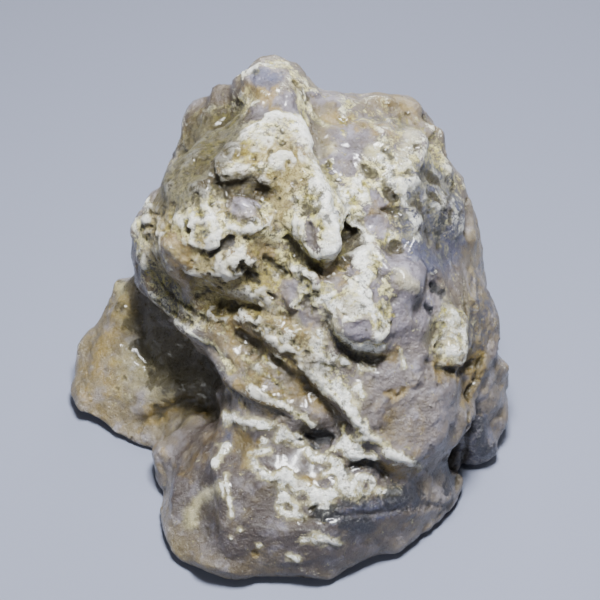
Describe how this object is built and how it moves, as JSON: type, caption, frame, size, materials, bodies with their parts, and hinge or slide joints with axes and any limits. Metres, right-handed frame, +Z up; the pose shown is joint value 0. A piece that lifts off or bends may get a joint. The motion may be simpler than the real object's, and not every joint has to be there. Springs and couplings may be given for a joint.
{
  "type": "ventifact",
  "caption": "Wind-worn lump of quartz with a chalky rind, an overhanging head and a pale flange at its foot.",
  "frame": {"origin": "on the small flat that the stone rests on, near its middle", "axes": "+Z up from the flat to the crown, -Y towards the front lobe, -X towards the pale flange"},
  "size_m": [0.0643, 0.0611, 0.053],
  "materials": {
    "stone": "matt chalky rind over satin translucent quartz"
  },
  "bodies": {
    "root": {"stone": "stone"}
  },
  "joints": []
}
